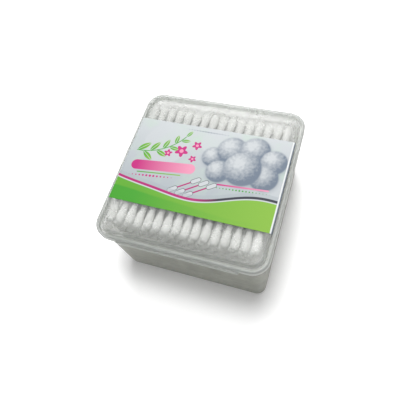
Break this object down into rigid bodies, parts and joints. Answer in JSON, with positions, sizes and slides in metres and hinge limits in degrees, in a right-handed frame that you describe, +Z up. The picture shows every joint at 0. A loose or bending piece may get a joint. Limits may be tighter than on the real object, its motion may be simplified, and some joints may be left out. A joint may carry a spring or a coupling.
{
  "type": "cotton swab box",
  "caption": "Square hinged-lid box of translucent plastic, filled with rows of double-ended cotton swabs, with a plain-pattern paper label across the lid.",
  "frame": {"origin": "centre of the box's bounding box, on the surface that it stands on", "axes": "+X across the swabs to the right, +Y along the swabs towards the hinge at the back, +Z up"},
  "size_m": [0.093, 0.096, 0.0553],
  "materials": {
    "base_plastic": "satin, translucent",
    "lid_plastic": "gloss, translucent",
    "label_paper": "satin coated paper",
    "stick": "matt rolled paper",
    "cotton": "soft cotton wool"
  },
  "bodies": {
    "box": {"base": "base_plastic", "sticks_row_01": "stick", "sticks_row_02": "stick", "sticks_row_03": "stick", "sticks_row_04": "stick", "sticks_row_05": "stick", "sticks_row_06": "stick", "sticks_row_07": "stick", "sticks_row_08": "stick", "sticks_row_09": "stick", "sticks_row_10": "stick", "sticks_row_11": "stick", "sticks_row_12": "stick", "sticks_row_13": "stick", "cotton_row_01": "cotton", "cotton_row_02": "cotton", "cotton_row_03": "cotton", "cotton_row_04": "cotton", "cotton_row_05": "cotton", "cotton_row_06": "cotton", "cotton_row_07": "cotton", "cotton_row_08": "cotton", "cotton_row_09": "cotton", "cotton_row_10": "cotton", "cotton_row_11": "cotton", "cotton_row_12": "cotton", "cotton_row_13": "cotton"},
    "lid": {"lid": "lid_plastic", "label": "label_paper"}
  },
  "joints": [
    {"name": "lid_hinge", "type": "hinge", "parent": "box", "child": "lid", "pos_m": [0, 0.048, 0.04827], "axis": [-1, 0, 0], "range_deg": [0, 180]}
  ]
}
